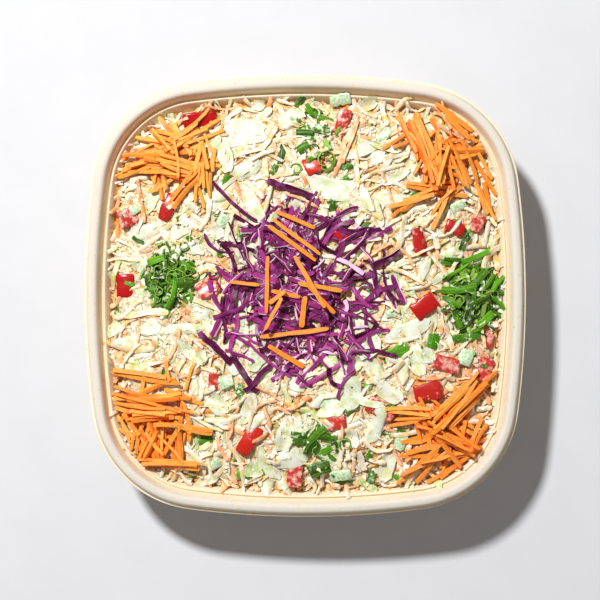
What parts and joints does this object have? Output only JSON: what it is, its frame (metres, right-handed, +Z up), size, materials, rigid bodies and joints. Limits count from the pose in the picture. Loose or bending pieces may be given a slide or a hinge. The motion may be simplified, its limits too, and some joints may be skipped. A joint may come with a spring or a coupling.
{
  "type": "coleslaw in a square moulded-fibre catering tray",
  "caption": "A square moulded-fibre catering tray of creamy coleslaw, topped with carrot sticks, red cabbage, cut green onion and diced red pepper.",
  "frame": {"origin": "centre of the tray's footprint, on the table", "axes": "+Z up, out of the tray; +X and +Y along its sides"},
  "size_m": [0.305, 0.305, 0.0875],
  "materials": {
    "fibre": "matte moulded plant fibre, unbleached",
    "slaw": "shredded cabbage wet with creamy dressing",
    "carrot": "fresh cut carrot, slightly moist",
    "red_cabbage": "fresh cut red cabbage, waxy skin and pale cut edges",
    "green_onion": "fresh cut green onion leaf, waxy",
    "red_pepper": "fresh diced red pepper, glossy skin"
  },
  "bodies": {
    "root": {"tray": "fibre", "red_pepper_01": "red_pepper", "red_pepper_02": "red_pepper", "red_pepper_03": "red_pepper", "red_pepper_04": "red_pepper", "red_pepper_05": "red_pepper", "red_pepper_06": "red_pepper", "red_pepper_07": "red_pepper", "red_pepper_08": "red_pepper", "red_pepper_09": "red_pepper", "red_pepper_10": "red_pepper", "red_pepper_11": "red_pepper", "red_pepper_12": "red_pepper", "red_pepper_13": "red_pepper", "red_pepper_14": "red_pepper", "red_pepper_15": "red_pepper", "red_pepper_16": "red_pepper", "red_pepper_17": "red_pepper", "red_pepper_18": "red_pepper", "red_pepper_19": "red_pepper", "red_pepper_20": "red_pepper", "red_pepper_21": "red_pepper", "red_pepper_22": "red_pepper", "green_onion_w": "green_onion", "green_onion_e": "green_onion", "green_onion_n": "green_onion", "green_onion_s": "green_onion", "red_cabbage": "red_cabbage", "carrot_pile_nw": "carrot", "carrot_pile_ne": "carrot", "carrot_pile_sw": "carrot", "carrot_pile_se": "carrot", "loose_carrot_01": "carrot", "loose_carrot_02": "carrot", "loose_carrot_03": "carrot", "loose_carrot_04": "carrot", "loose_carrot_05": "carrot", "loose_carrot_06": "carrot", "loose_carrot_07": "carrot", "loose_carrot_08": "carrot", "loose_carrot_09": "carrot", "loose_carrot_10": "carrot", "loose_carrot_11": "carrot", "loose_carrot_12": "carrot", "loose_carrot_13": "carrot", "loose_carrot_14": "carrot", "loose_carrot_15": "carrot", "loose_carrot_16": "carrot", "slaw": "slaw"}
  },
  "joints": []
}
